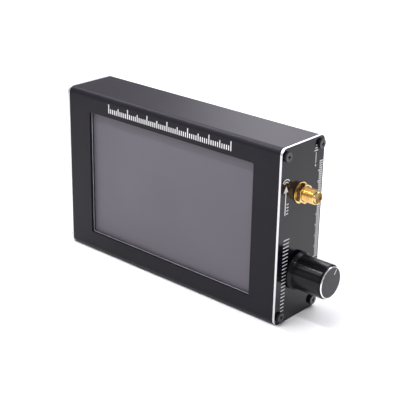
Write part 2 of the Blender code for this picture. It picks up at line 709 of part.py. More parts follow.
# ---------------------------------------------------------------- knob
def knob():
    """Anodised shell with a flared skirt, a bright turned chamfer and a pointer slot, pressed on a core."""
    y, z = AXIS_Y, ENCODER_Z
    back, face = PANEL_OUT + KNOB_BACK, PANEL_OUT + KNOB_REACH
    end_radius = 7.1
    chamfer = 0.35
    cavity = face - 2.2
    profile = [
        (back, KNOB_RECESS_RADIUS), (back, KNOB_SKIRT_RADIUS - 0.2), (back + 0.3, KNOB_SKIRT_RADIUS),
        (back + 0.9, KNOB_SKIRT_RADIUS), (back + 1.6, KNOB_RADIUS + 0.25), (back + 2.6, KNOB_RADIUS),
        (face - 1.1, KNOB_RADIUS), (face - chamfer, end_radius), (face, end_radius - chamfer), (face, 0),
        (cavity, 0), (cavity, KNOB_RECESS_RADIUS),
    ]
    shell = solid("knob_shell", turned(profile, 64, y, z), "knob_black", "knob")
    along = Vector((0.0, math.sin(POINTER_ANGLE), math.cos(POINTER_ANGLE)))
    across = Vector((0.0, math.cos(POINTER_ANGLE), -math.sin(POINTER_ANGLE)))
    centre = Vector((0.0, y, z))
    outline = []
    for reach, side in ((3.4, -1), (3.4, 1), (6.2, 1), (6.2, -1)):
        point = centre + along * reach + across * (0.3 * side)
        outline.append((point.y, point.z))
    cut(shell, prism(outline, "X", face - 0.3, face + 1))

    core_back = PANEL_OUT + BUSHING_REACH + KNOB_TRAVEL + 0.5
    core_face = cavity - GAP
    plug = prism(circle(KNOB_RECESS_RADIUS - GAP, 40, (y, z)), "X", core_back, core_face)
    core = solid("knob_core", plug, "black_plastic", "knob")
    hole_end = PANEL_OUT + SHAFT_REACH + GAP
    step = FLAT_START + 0.2 + GAP
    bore_radius = SHAFT_RADIUS + RUNNING_GAP
    keyed = flatted(bore_radius, SHAFT_FLAT + RUNNING_GAP, (y, z))
    cut(core, prism(keyed, "X", step - 0.5, hole_end))
    cut(core, prism(circle(bore_radius + 0.02, 32, (y, z)), "X", core_back - 1, step))


# ---------------------------------------------------------------- the whole object
def main():
    for old in list(bpy.data.objects):
        bpy.data.objects.remove(old)
    make_materials()
    group("housing")
    group("rotor", (PANEL_OUT, AXIS_Y, ENCODER_Z), GROUPS["housing"][0])
    group("knob", (PANEL_OUT, AXIS_Y, ENCODER_Z), GROUPS["rotor"][0])
    group("switch_lever", (-PANEL_OUT, PORT_Y, SWITCH_Z), GROUPS["housing"][0])

    case_sleeve()
    end_panels()
    panel_screws()
    display()
    display_carrier()
    display_ribbon()
    main_board()
    battery()
    usb_port()
    charge_light()
    power_switch()
    antenna_jack()
    encoder()
    knob()


main()
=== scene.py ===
"""Looks of a pocket spectrum analyzer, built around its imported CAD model.

Sizes and places are in millimetres, read from the frame where the frame has them, and mesh_object()
turns them into metres. +X is to the right of the display, +Y is to the back and +Z is up.
"""
import json
import math

import bmesh
import bpy
from mathutils import Euler, Matrix, Vector


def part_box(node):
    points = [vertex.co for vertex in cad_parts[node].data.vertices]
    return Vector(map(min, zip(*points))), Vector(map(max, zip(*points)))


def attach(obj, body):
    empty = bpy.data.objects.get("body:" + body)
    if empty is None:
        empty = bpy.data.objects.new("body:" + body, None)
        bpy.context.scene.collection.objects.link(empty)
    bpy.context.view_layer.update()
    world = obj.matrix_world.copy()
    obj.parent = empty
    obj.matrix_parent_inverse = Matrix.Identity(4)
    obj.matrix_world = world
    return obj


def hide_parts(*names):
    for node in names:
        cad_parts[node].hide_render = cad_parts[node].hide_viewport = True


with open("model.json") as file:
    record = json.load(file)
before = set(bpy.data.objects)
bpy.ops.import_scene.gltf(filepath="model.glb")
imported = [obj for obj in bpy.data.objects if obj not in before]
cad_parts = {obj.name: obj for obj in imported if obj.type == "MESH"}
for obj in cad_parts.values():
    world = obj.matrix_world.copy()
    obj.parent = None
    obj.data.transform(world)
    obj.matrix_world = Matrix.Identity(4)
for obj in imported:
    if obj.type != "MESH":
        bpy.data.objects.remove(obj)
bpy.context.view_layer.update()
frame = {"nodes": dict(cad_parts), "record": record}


def box_of(node):
    low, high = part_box(node)
    return low * 1000, high * 1000


# ---------------------------------------------------------------- places read from the frame
SLEEVE_LOW, SLEEVE_HIGH = box_of("case_sleeve")
PLATE_LOW, PLATE_HIGH = box_of("right_end_panel")
PANEL_IN, PANEL_OUT = PLATE_LOW.x, PLATE_HIGH.x
FRONT, BACK = SLEEVE_LOW.y, SLEEVE_HIGH.y
HEIGHT = SLEEVE_HIGH.z
MIDDLE = (0.0, HEIGHT / 2)
OPENING = frame["record"]["physics"]["openings"][0]["box_m"]
KNOB_LOW, KNOB_HIGH = box_of("knob_shell")
KNOB_AXIS = ((KNOB_LOW.y + KNOB_HIGH.y) / 2, (KNOB_LOW.z + KNOB_HIGH.z) / 2)
NUT_LOW, NUT_HIGH = box_of("jack_nut")
JACK_AXIS = ((NUT_LOW.y + NUT_HIGH.y) / 2, (NUT_LOW.z + NUT_HIGH.z) / 2)

# ---------------------------------------------------------------- sizes of the fine shapes
SEAM = 0.06              # what shows between two pieces that touch
INK = 0.02               # how far the printed marks stand out
INK_ROOT = 0.005         # how far they reach into the face under them
CORNER_RADIUS = 2.75     # of the case's four long edges
CORNER_STEPS = 14
WALL = 1.3
WINDOW_MARGIN = 0.35     # from the recorded opening to the cut edge of the window
WINDOW_RADIUS = 0.8
WASHER = 0.5             # thickness
FINGER_HALF_Y, FINGER_HALF_Z = 0.75, 1.0     # half the power switch's finger
SWITCH_TRAVEL = 2.0
POINTER_ANGLE = math.radians(37)             # of the knob's pointer, from +Z towards +Y
SHARP = math.radians(35)                     # edges sharper than this are rounded or shaded sharp

CAMERA_PLACE = (0.3063, -0.3394, 0.2226)      # metres
CAMERA_YAW, CAMERA_PITCH, CAMERA_ROLL = 41.34, 22.19, 1.09
CAMERA_LENS = 96.6

FLOOR_REACH = 3.0        # metres
FLOOR_COLOUR = (0.885, 0.905, 0.857)
SURROUND = 0.45          # radiance of the surround, 1 for paper white
SURROUND_COLOUR = (0.99, 0.96, 1.05, 1.0)
LAMP_COLOUR = (1.0, 0.965, 1.06)             # faintly violet
LIT_SPOT = (0.0, 0.0, 0.04)                  # metres; every lamp faces it
SOFTBOXES = (            # place and size in metres, and radiance
    ("front_strip", (-0.02, -0.19, 0.45), (0.44, 0.03), 27.0),         # streak along the knob
    ("front_low", (-0.60, -0.80, 0.35), (0.7, 0.4), 0.5),
    ("near_front", (0.0, -0.12, 0.20), (0.12, 0.08), 4.6),             # brightens the display's top
    ("edge_strip", (-0.225, -0.03, 0.44), (0.08, 0.05), 40.0),         # line on the front top edge
    ("overhead", (-0.30, 0.10, 1.1), (1.1, 0.9), 1.8),
    ("back_bank", (0.05, 0.45, 0.58), (0.90, 0.35), 2.8),
    ("back_left", (-0.55, 0.25, 0.65), (0.40, 0.25), 3.6),
    ("back_near", (-0.12, 0.34, 0.27), (0.20, 0.20), 2.2),             # sheen on the top's right half
    ("back_near_edge", (-0.26, 0.34, 0.27), (0.08, 0.20), 2.4),        # eases it out to the left
)


# ---------------------------------------------------------------- studio
def camera():
    data = bpy.data.cameras.new("camera")
    data.lens = CAMERA_LENS
    made = bpy.data.objects.new("camera", data)
    bpy.context.scene.collection.objects.link(made)
    turn = Euler((math.radians(90 - CAMERA_PITCH), 0, math.radians(CAMERA_YAW))).to_matrix()
    turn = turn @ Matrix.Rotation(math.radians(CAMERA_ROLL), 3, "Z")
    made.matrix_world = Matrix.Translation(CAMERA_PLACE) @ turn.to_4x4()
    bpy.context.scene.camera = made


def softbox(name, place, size, radiance):
    """A rectangular lamp at place, in metres, that faces the object, with its long side along X.

    Its radiance is 1 for paper white.
    """
    data = bpy.data.lights.new(name, "AREA")
    data.shape = "RECTANGLE"
    data.size, data.size_y = size
    data.energy = radiance * size[0] * size[1] * math.pi
    data.color = LAMP_COLOUR
    made = bpy.data.objects.new(name, data)
    made.visible_camera = False
    bpy.context.scene.collection.objects.link(made)
    back = (Vector(place) - Vector(LIT_SPOT)).normalized()
    up = back.cross(Vector((1, 0, 0))).normalized()
    turn = Matrix((up.cross(back), up, back)).transposed()
    made.matrix_world = Matrix.Translation(place) @ turn.to_4x4()


def studio():
    """A pale floor, a soft white surround and the softboxes."""
    scene = bpy.context.scene
    scene.view_settings.view_transform = "Standard"
    world = bpy.data.worlds.new("surround")
    scene.world = world
    world.use_nodes = True
    background = world.node_tree.nodes["Background"]
    background.inputs["Color"].default_value = SURROUND_COLOUR
    background.inputs["Strength"].default_value = SURROUND
    for name, place, size, radiance in SOFTBOXES:
        softbox(name, place, size, radiance)

    slab = block((-FLOOR_REACH, -FLOOR_REACH, -0.01), (FLOOR_REACH, FLOOR_REACH, 0.0))
    floor = mesh_object("floor", slab, 1.0)
    floor.data.materials.append(surface("floor_paper", FLOOR_COLOUR, 0.9, cloud=0.4, tint=0.01))


# ---------------------------------------------------------------- shapes as (points, faces)
def circle(radius, segments, centre=(0.0, 0.0), turn=0.0):
    angles = [turn + 2 * math.pi * i / segments for i in range(segments)]
    return [(centre[0] + radius * math.cos(a), centre[1] + radius * math.sin(a)) for a in angles]


def rectangle(low, high):
    return [(low[0], low[1]), (high[0], low[1]), (high[0], high[1]), (low[0], high[1])]


def rounded(low, high, radius, steps=6):
    """Outline of a rectangle between two corners, with round corners of its own."""
    points = []
    for quarter, (near_a, near_b) in enumerate(((high, high), (low, high), (low, low), (high, low))):
        a = near_a[0] - radius if near_a is high else near_a[0] + radius
        b = near_b[1] - radius if near_b is high else near_b[1] + radius
        for i in range(steps + 1):
            angle = math.pi / 2 * (quarter + i / steps)
            points.append((a + radius * math.cos(angle), b + radius * math.sin(angle)))
    return points


def hexagon(across_flats, centre):
    return circle(across_flats / math.sqrt(3), 6, centre, math.pi / 6)


def prism(outline, axis, *levels):
    """An outline in the other two axes, in X, Y, Z order, carried through levels along one axis."""
    place = {
        "X": lambda a, b, along: (along, a, b),
        "Y": lambda a, b, along: (a, along, b),
        "Z": lambda a, b, along: (a, b, along),
    }[axis]
    count = len(outline)
    last = count * (len(levels) - 1)
    points = [place(a, b, along) for along in levels for a, b in outline]
    faces = [tuple(range(count)), tuple(range(last, last + count))]
    for start in range(0, last, count):
        for i in range(count):
            j = (i + 1) % count
            faces.append((start + i, start + j, start + count + j, start + count + i))
    return points, faces


def block(low, high):
    return prism(rectangle(low[:2], high[:2]), "Z", low[2], high[2])


def arc(centre, radius, start, end, steps):
    """Points on an arc, whose angles are in degrees from the first axis."""
    angles = [math.radians(start + (end - start) * i / steps) for i in range(steps + 1)]
    return [(centre[0] + radius * math.cos(a), centre[1] + radius * math.sin(a)) for a in angles]


def turned(profile, segments, axis):
    """A profile of (x, radius) points turned about a line along X, and closed if it's off the line."""
    points, rings = [], []
    for x, radius in profile:
        start = len(points)
        if radius == 0:
            points.append((x, *axis))
            rings.append([start] * segments)
            continue
        points += [(x, axis[0] + a, axis[1] + b) for a, b in circle(radius, segments)]
        rings.append(list(range(start, start + segments)))
    if profile[0][1] > 0:
        rings.append(rings[0])
    faces = []
    for near, far in zip(rings, rings[1:]):
        for i in range(segments):
            j = (i + 1) % segments
            face = dict.fromkeys((near[i], near[j], far[j], far[i]))
            if len(face) > 2:
                faces.append(tuple(face))
    return points, faces


def joined(*shapes):
    """Several separate shapes as one."""
    points, faces = [], []
    for shape_points, shape_faces in shapes:
        offset = len(points)
        points += shape_points
        faces += [tuple(offset + i for i in face) for face in shape_faces]
    return points, faces


# ---------------------------------------------------------------- meshes
def mesh_object(name, shape, unit=0.001):
    points, faces = shape
    mesh = bpy.data.meshes.new(name)
    mesh.from_pydata([Vector(p) * unit for p in points], [], faces)
    work = bmesh.new()
    work.from_mesh(mesh)
    bmesh.ops.recalc_face_normals(work, faces=work.faces)
    work.to_mesh(mesh)
    work.free()
    made = bpy.data.objects.new(name, mesh)
    bpy.context.scene.collection.objects.link(made)
    return made


def combine(target, shape, operation="DIFFERENCE"):
    """Cuts a shape from a mesh object, or joins it on."""
    tool = mesh_object("tool", shape)
    modifier = target.modifiers.new(operation, "BOOLEAN")
    modifier.operation = operation
    modifier.solver = "EXACT"
    modifier.object = tool
    bpy.context.view_layer.update()
    graph = bpy.context.evaluated_depsgraph_get()
    target.data = bpy.data.meshes.new_from_object(target.evaluated_get(graph))
    target.modifiers.clear()
    target.data.materials.clear()
    bpy.data.objects.remove(tool)


def as_shape(made):
    """A mesh object as a shape again, after which the object is gone."""
    points = [v.co * 1000 for v in made.data.vertices]
    faces = [tuple(p.vertices) for p in made.data.polygons]
    bpy.data.objects.remove(made)
    return points, faces


def soften(made, width, wanted=lambda middle: True, steps=3):
    """Rounds the sharp edges whose middle is wanted."""
    work = bmesh.new()
    work.from_mesh(made.data)
    bmesh.ops.remove_doubles(work, verts=work.verts, dist=1e-7)
    edges = [
        e for e in work.edges
        if len(e.link_faces) == 2 and e.calc_face_angle(0) > SHARP
        and wanted((e.verts[0].co + e.verts[1].co) * 500)
    ]
    bmesh.ops.bevel(
        work, geom=edges, offset=width * 0.001, segments=steps, profile=0.5, affect="EDGES",
        clamp_overlap=True,
    )
    work.to_mesh(made.data)
    work.free()


def piece(made, looks, body="housing", nodes=(), choose=None):
    """Gives a mesh its materials and shading and its body, and hides the CAD nodes that it stands for."""
    for look in looks if isinstance(looks, list) else [looks]:
        made.data.materials.append(look)
    if choose:
        for face in made.data.polygons:
            face.material_index = choose(face.center * 1000, face.normal)
    made.data.shade_smooth()
    made.data.set_sharp_from_angle(angle=SHARP)
    flat = made.modifiers.new("flat_faces", "WEIGHTED_NORMAL")
    flat.keep_sharp = True
    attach(made, body)
    if nodes:
        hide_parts(*nodes)
    return made


# ---------------------------------------------------------------- materials
class Tree:
    """A material's nodes around its Principled shader."""

    def __init__(self, name):
        self.material = bpy.data.materials.new(name)
        self.material.use_nodes = True
        self.nodes = self.material.node_tree.nodes
        self.links = self.material.node_tree.links
        self.shader = self.nodes["Principled BSDF"]
        self.place = self.node("ShaderNodeTexCoord").outputs["Object"]

    def node(self, kind, settings=None, **values):
        """A node with its settings and its inputs, each a number or another node's output."""
        made = self.nodes.new(kind)
        for key, value in (settings or {}).items():
            setattr(made, key, value)
        for key, value in values.items():
            self.feed(made.inputs[key.replace("_", " ")], value)
        return made

    def feed(self, socket, value):
        if isinstance(value, bpy.types.NodeSocket):
            self.links.new(value, socket)
        else:
            socket.default_value = value

    def stretched(self, scale):
        """Object coordinates in units of scale, which is a length in metres, or one for each axis."""
        scales = scale if isinstance(scale, tuple) else (scale,) * 3
        node = self.node("ShaderNodeMapping", Vector=self.place)
        node.inputs["Scale"].default_value = [1 / s for s in scales]
        return node.outputs["Vector"]

    def noise(self, scale, detail=3.0, place=None):
        vector = place or self.stretched(scale)
        return self.node("ShaderNodeTexNoise", Vector=vector, Scale=1.0, Detail=detail).outputs["Fac"]

    def rings(self, axis, scale):
        """Noise that changes only with the distance from a line along X, as a turned surface does."""
        moved = self.node("ShaderNodeMapping", Vector=self.place)
        moved.inputs["Location"].default_value = (0, -axis[0] * 0.001, -axis[1] * 0.001)
        parts = self.node("ShaderNodeSeparateXYZ", Vector=moved.outputs["Vector"])
        across = self.node("ShaderNodeCombineXYZ", Y=parts.outputs["Y"], Z=parts.outputs["Z"])
        radius = self.node("ShaderNodeVectorMath", {"operation": "LENGTH"}, Vector=across.outputs["Vector"])
        scaled = self.node("ShaderNodeMath", {"operation": "DIVIDE"})
        self.feed(scaled.inputs[0], radius.outputs["Value"])
        self.feed(scaled.inputs[1], scale)
        line = self.node("ShaderNodeCombineXYZ", X=scaled.outputs["Value"])
        return self.noise(1.0, 2.0, line.outputs["Vector"])

    def ranged(self, value, low, high, start=0.3, end=0.7):
        node = self.node("ShaderNodeMapRange", Value=value)
        node.inputs["From Min"].default_value = start
        node.inputs["From Max"].default_value = end
        node.inputs["To Min"].default_value = low
        node.inputs["To Max"].default_value = high
        return node.outputs["Result"]

    def mixed(self, share, first, second):
        node = self.node("ShaderNodeMix", {"data_type": "RGBA"})
        self.feed(node.inputs["Factor"], share)
        for socket, colour in ((node.inputs[6], first), (node.inputs[7], second)):
            self.feed(socket, (*colour, 1.0) if isinstance(colour, tuple) else colour)
        return node.outputs[2]

    def bump(self, height, distance, strength=1.0, normal=None):
        node = self.node("ShaderNodeBump", Height=height, Strength=strength, Distance=distance)
        if normal:
            self.feed(node.inputs["Normal"], normal)
        return node.outputs["Normal"]


def shaded(colour, share):
    return tuple(min(1.0, c * share) for c in colour)


def surface(
    name, colour, roughness, metallic=0.0, cloud=0.006, tint=0.08, spread=0.05,
    grain=0.00025, relief=0.000004, speck=None, rings=None, turned=False, **sockets,
):
    """A finish: colour that drifts by tint over cloud metres, and a grain in its gloss and relief.

    grain is a length in metres, or one for each axis on a brushed surface. rings is the axis of a
    turned surface, and speck is the colour of fine flecks. sockets go to the shader as they are.
    """
    tree = Tree(name)
    drift = tree.ranged(tree.noise(cloud), 0.0, 1.0)
    base = tree.mixed(drift, shaded(colour, 1 - tint), shaded(colour, 1 + tint))
    if rings:
        texture = tree.rings(rings, grain)
    else:
        texture = tree.noise(grain)
    if speck:
        base = tree.mixed(tree.ranged(texture, 0.0, 1.0, 0.56, 0.72), base, speck)
    tree.feed(tree.shader.inputs["Base Color"], base)
    tree.feed(tree.shader.inputs["Roughness"], tree.ranged(texture, roughness - spread, roughness + spread))
    if relief:
        tree.feed(tree.shader.inputs["Normal"], tree.bump(texture, relief))
    tree.shader.inputs["Metallic"].default_value = metallic
    if turned:
        around = tree.node("ShaderNodeTangent", {"direction_type": "RADIAL", "axis": "X"})
        tree.feed(tree.shader.inputs["Tangent"], around.outputs["Tangent"])
    for key, value in sockets.items():
        tree.shader.inputs[key.replace("_", " ")].default_value = value
    return tree.material


def display_film():
    """Matt film over an unlit display: a fine sparkle, and the faint grid of its cells."""
    tree = Tree("display_film")
    cell = 0.000198
    cells = tree.node(
        "ShaderNodeTexWave", {"wave_type": "BANDS", "bands_direction": "X", "wave_profile": "SIN"},
        Vector=tree.stretched(cell), Scale=1.0, Distortion=0.0,
    )
    sparkle = tree.noise(0.00012, 2.0)
    drift = tree.ranged(tree.noise(0.03), 0.0, 1.0)
    base = tree.mixed(drift, (0.106, 0.100, 0.114), (0.116, 0.110, 0.125))
    grid = tree.ranged(cells.outputs["Fac"], 0.0, 0.10, 0.0, 1.0)
    base = tree.mixed(grid, base, (0.10, 0.10, 0.11))
    tree.feed(tree.shader.inputs["Base Color"], base)
    tree.feed(tree.shader.inputs["Roughness"], tree.ranged(sparkle, 0.50, 0.62))
    tree.feed(tree.shader.inputs["Normal"], tree.bump(sparkle, 0.000003))
    tree.shader.inputs["Specular IOR Level"].default_value = 0.33
    return tree.material


def make_looks():
    looks = {
        "case": surface(
            "anodised_case", (0.010, 0.0096, 0.012), 0.36, cloud=0.02, tint=0.12, grain=0.00016,
            relief=0.000006, speck=(0.018, 0.0172, 0.0215), Specular_IOR_Level=0.12,
        ),
        "panel": surface(
            "anodised_panel", (0.0045, 0.004, 0.0085), 0.16, cloud=0.015, tint=0.12, grain=0.00014,
            relief=0.0000015, Specular_IOR_Level=0.29,
        ),
        "rim": surface(
            "bare_rim", (0.66, 0.65, 0.66), 0.36, 1.0, cloud=0.004, tint=0.03, spread=0.08,
            grain=(0.00008, 0.004, 0.004), relief=0.000003,
        ),
        # Two copies of black oxide: the sides darker and duller as painted shade, the top lighter and
        # glossier, a burnished top with a painted highlight.
        "screw": surface(
            "black_oxide", (0.008, 0.008, 0.009), 0.42, cloud=0.0009, tint=0.25, spread=0.08,
            grain=0.0002, relief=0.000005, Specular_IOR_Level=0.2,
        ),
        "screw_top": surface(
            "burnished_black_oxide_painted_highlight", (0.012, 0.012, 0.013), 0.28, cloud=0.0009, tint=0.25, spread=0.06,
            grain=0.0002, relief=0.000002, Specular_IOR_Level=0.75,
        ),
        "knob": surface(
            "knob_gloss", (0.004, 0.004, 0.0045), 0.21, cloud=0.003, tint=0.2, spread=0.03,
            grain=(0.00005, 0.004, 0.004), relief=0.0000006, turned=True, Specular_IOR_Level=0.2,
            Anisotropic=0.9, Anisotropic_Rotation=0.25,
        ),
        "knob_face": surface(
            "knob_spun_face", (0.015, 0.014, 0.017), 0.30, cloud=0.004, tint=0.1, spread=0.08,
            grain=0.00012, relief=0.000006, rings=KNOB_AXIS, Specular_IOR_Level=0.30,
        ),
        "chamfer": surface(
            "turned_chamfer", (0.90, 0.89, 0.90), 0.18, 1.0, cloud=0.002, tint=0.02,
            grain=0.00006, relief=0.000001, rings=KNOB_AXIS,
        ),
        "ink": surface(
            "white_ink", (0.72, 0.72, 0.71), 0.55, cloud=0.0015, tint=0.05, grain=0.0001, relief=0.000004,
        ),
        "film": display_film(),
        # Light grey on the seal's front face is a painted highlight: the thin light line along the window's
        # edge.
        "lip": surface("seal_edge_painted_highlight", (0.34, 0.33, 0.36), 0.5, cloud=0.003, tint=0.1, grain=0.0002),
        "foam": surface(
            "black_foam", (0.028, 0.027, 0.030), 0.9, cloud=0.002, tint=0.3, grain=0.00035, relief=0.00005,
        ),
        "glass_edge": surface("glass_edge", (0.05, 0.06, 0.06), 0.15, cloud=0.004, grain=0.0003),
        "gold": surface(
            "gold_plate", (0.83, 0.58, 0.24), 0.22, 1.0, cloud=0.003, tint=0.05, spread=0.06,
            grain=0.00015, relief=0.000002,
        ),
        "gold_turned": surface(
            "gold_plate_turned", (0.83, 0.58, 0.24), 0.20, 1.0, cloud=0.003, tint=0.05, spread=0.06,
            grain=0.0001, relief=0.000002, rings=JACK_AXIS,
        ),
        "steel": surface(
            "drawn_steel", (0.56, 0.55, 0.54), 0.30, 1.0, cloud=0.006, tint=0.05, spread=0.08,
            grain=(0.002, 0.00012, 0.00012), relief=0.000002,
        ),
        "steel_turned": surface(
            "turned_steel", (0.58, 0.57, 0.55), 0.26, 1.0, cloud=0.004, tint=0.05, spread=0.07,
            grain=0.0001, relief=0.000002, rings=KNOB_AXIS,
        ),
        "brass": surface(
            "brass", (0.72, 0.50, 0.20), 0.28, 1.0, cloud=0.002, tint=0.08, grain=(0.00012, 0.003, 0.00012),
            relief=0.000002,
        ),
        "white_plastic": surface(
            "white_plastic", (0.80, 0.79, 0.75), 0.42, cloud=0.003, tint=0.03, grain=0.00012,
            relief=0.000004,
        ),
        "black_plastic": surface(
            "black_plastic", (0.016, 0.016, 0.017), 0.46, cloud=0.003, tint=0.15, grain=0.00014,
            relief=0.00001, speck=(0.026, 0.026, 0.028),
        ),
        "ptfe": surface(
            "ptfe", (0.84, 0.83, 0.80), 0.5, cloud=0.002, tint=0.03, grain=0.0001, relief=0.000002,
            rings=JACK_AXIS, Subsurface_Weight=0.2, Subsurface_Scale=0.001,
        ),
        "glass": surface("display_glass", (0.05, 0.05, 0.055), 0.08, cloud=0.02, grain=0.004, relief=0.0),
        "light_guide": surface(
            "light_guide", (0.86, 0.88, 0.90), 0.3, cloud=0.01, tint=0.02, grain=0.0004, relief=0.000008,
        ),
        "amber": surface(
            "polyimide", (0.50, 0.22, 0.035), 0.32, cloud=0.004, tint=0.12, grain=(0.0005, 0.01, 0.01),
            relief=0.00001, Coat_Weight=0.3,
        ),
        "foil": surface(
            "cell_foil", (0.60, 0.61, 0.63), 0.30, 0.9, cloud=0.008, tint=0.08, spread=0.1,
            grain=0.0012, relief=0.00004,
        ),
        "red_wire": surface("red_wire", (0.45, 0.015, 0.012), 0.38, cloud=0.002, tint=0.12, grain=0.0003),
        "clear": surface(
            "light_pipe", (0.82, 0.86, 0.88), 0.10, cloud=0.002, tint=0.02, grain=0.0003, relief=0.000002,
            Transmission_Weight=0.55, IOR=1.49,
        ),
        "board": circuit_board(),
        "chip": surface(
            "moulded_epoxy", (0.018, 0.018, 0.019), 0.55, cloud=0.001, tint=0.2, grain=0.00007,
            relief=0.00001, speck=(0.05, 0.05, 0.052),
        ),
    }
    return looks


def circuit_board():
    """Green solder mask with the faint relief of the tracks under it."""
    tree = Tree("solder_mask")
    tracks = tree.node(
        "ShaderNodeTexBrick", {"offset": 0.5, "squash": 0.6, "squash_frequency": 3}, Scale=1.0,
    )
    tracks.inputs["Mortar Size"].default_value = 0.09
    tracks.inputs["Mortar Smooth"].default_value = 0.2
    turned_place = tree.node("ShaderNodeMapping", Vector=tree.stretched((0.004, 0.004, 0.0028)))
    turned_place.inputs["Rotation"].default_value = (math.radians(90), 0, 0)
    tree.feed(tracks.inputs["Vector"], turned_place.outputs["Vector"])
    weave = tree.noise((0.0004, 0.0004, 0.0004))
    base = tree.mixed(tracks.outputs["Fac"], (0.010, 0.075, 0.038), (0.022, 0.135, 0.070))
    tree.feed(tree.shader.inputs["Base Color"], base)
    tree.feed(tree.shader.inputs["Roughness"], tree.ranged(weave, 0.30, 0.42))
    fine = tree.bump(weave, 0.000004)
    tree.feed(tree.shader.inputs["Normal"], tree.bump(tracks.outputs["Fac"], 0.00003, normal=fine))
    return tree.material


# ---------------------------------------------------------------- case
def screw_places():
    places = []
    for number in range(1, 5):
        low, high = box_of(f"right_panel_screw_{number}")
        places.append(((low.y + high.y) / 2, (low.z + high.z) / 2))
    return places


def window_outline(inset=0.0, radius=WINDOW_RADIUS, steps=8):
    low = (OPENING[0][0] * 1000 - WINDOW_MARGIN + inset, OPENING[0][2] * 1000 - WINDOW_MARGIN + inset)
    high = (OPENING[1][0] * 1000 + WINDOW_MARGIN - inset, OPENING[1][2] * 1000 + WINDOW_MARGIN - inset)
    return rounded(low, high, radius, steps)


def sleeve(looks):
    """Extruded sleeve with its screw bosses and board ribs, a crisp window and eased ends."""
    end = PANEL_IN - SEAM
    over = 5.0
    boss_radius, pilot_radius, rib_height, rib_thickness = 2.7, 1.5, 2.0, 1.0
    board_low, board_high = box_of("main_board")
    slack = PLATE_LOW.x - SLEEVE_HIGH.x
    ends = (-end - 2 * over, end + 2 * over)

    inner = rounded((FRONT + WALL, WALL), (BACK - WALL, HEIGHT - WALL), CORNER_RADIUS - WALL, CORNER_STEPS)
    cavity = mesh_object("cavity", prism(inner, "X", -end - over, end + over))
    ribs = []
    for low, high in ((0.0, WALL + rib_height), (HEIGHT - WALL - rib_height, HEIGHT)):
        for y in (board_low.y - slack - rib_thickness, board_high.y + slack):
            ribs.append(prism(rectangle((y, low), (y + rib_thickness, high)), "X", *ends))
    bosses = [prism(circle(boss_radius, 40, place), "X", *ends) for place in screw_places()]
    combine(cavity, joined(*ribs, *bosses))

    outer = rounded((FRONT + INK, 0), (BACK, HEIGHT), CORNER_RADIUS, CORNER_STEPS)
    made = mesh_object("sleeve", prism(outer, "X", -end, end))
    combine(made, as_shape(cavity))
    pilots = [prism(circle(pilot_radius, 24, place), "X", *ends) for place in screw_places()]
    combine(made, joined(*pilots, prism(window_outline(), "Y", FRONT - over, FRONT + WALL + 1.0)))

    def on_window(middle):
        return middle.y < FRONT + 0.1 and abs(middle.x) < end - 1
    soften(made, 0.18, on_window)
    soften(made, 0.12, lambda middle: abs(abs(middle.x) - end) < 0.01 and on_outline(middle))
    piece(made, looks["case"], nodes=["case_sleeve"])


def on_outline(middle):
    """True on the case's outside, seen along X, and not on a hole inside it."""
    margin = 0.9
    corner = CORNER_RADIUS
    y = abs(middle.y - (FRONT + BACK) / 2) - ((BACK - FRONT) / 2 - corner)
    z = abs(middle.z - HEIGHT / 2) - (HEIGHT / 2 - corner)
    if y > 0 and z > 0:
        return math.hypot(y, z) > corner - margin
    return max(y, z) > corner - margin


def end_plate(name, node, side, openings, looks):
    """Anodised plate whose edge was milled bright all round."""
    outline = rounded((FRONT, 0), (BACK, HEIGHT), CORNER_RADIUS, CORNER_STEPS)
    rim_starts = PANEL_IN + 0.12
    screw_hole = 1.6
    made = mesh_object(name, prism(outline, "X", side * PANEL_IN, side * rim_starts, side * PANEL_OUT))
    cuts = [*openings, *[circle(screw_hole, 32, place) for place in screw_places()]]
    combine(made, joined(*[prism(cut, "X", side * (PANEL_IN - 1), side * (PANEL_OUT + 1)) for cut in cuts]))
    soften(made, 0.10, on_outline, 2)
    soften(made, 0.08, lambda middle: not on_outline(middle) and abs(middle.x) > PANEL_OUT - 0.01, 2)

    def look_of(centre, normal):
        on_rim = abs(normal.x) < 0.2 and abs(centre.x) > rim_starts
        return 1 if on_rim and on_outline(centre) else 0
    piece(made, [looks["panel"], looks["rim"]], nodes=[node], choose=look_of)


def around(node, gap, round_radius=None, steps=6):
    """Outline around a node, seen along X: a rectangle, or one with round corners."""
    low, high = box_of(node)
    corners = (low.y - gap, low.z - gap), (high.y + gap, high.z + gap)
    return rounded(*corners, round_radius, steps) if round_radius else rectangle(*corners)


def end_plates(looks):
    gap = 0.25
    bushing_radius = 3.5
    jack_radius = 3.175
    end_plate("right_plate", "right_end_panel", 1, [
        circle(bushing_radius + gap, 64, KNOB_AXIS), circle(jack_radius + gap, 64, JACK_AXIS),
    ], looks)
    lever_low, lever_high = box_of("power_switch_lever")
    y, z = (lever_low.y + lever_high.y) / 2, (lever_low.z + lever_high.z) / 2
    slot_low = (y - FINGER_HALF_Y - gap, z - FINGER_HALF_Z - gap)
    slot_high = (y + FINGER_HALF_Y + gap, z + FINGER_HALF_Z + SWITCH_TRAVEL + gap)
    end_plate("left_plate", "left_end_panel", -1, [
        around("usb_socket", gap, 1.5 + gap, 10), around("charge_light_pipe", gap, 1.4 + gap - 0.001, 8),
        rounded(slot_low, slot_high, 0.35, 4),
    ], looks)


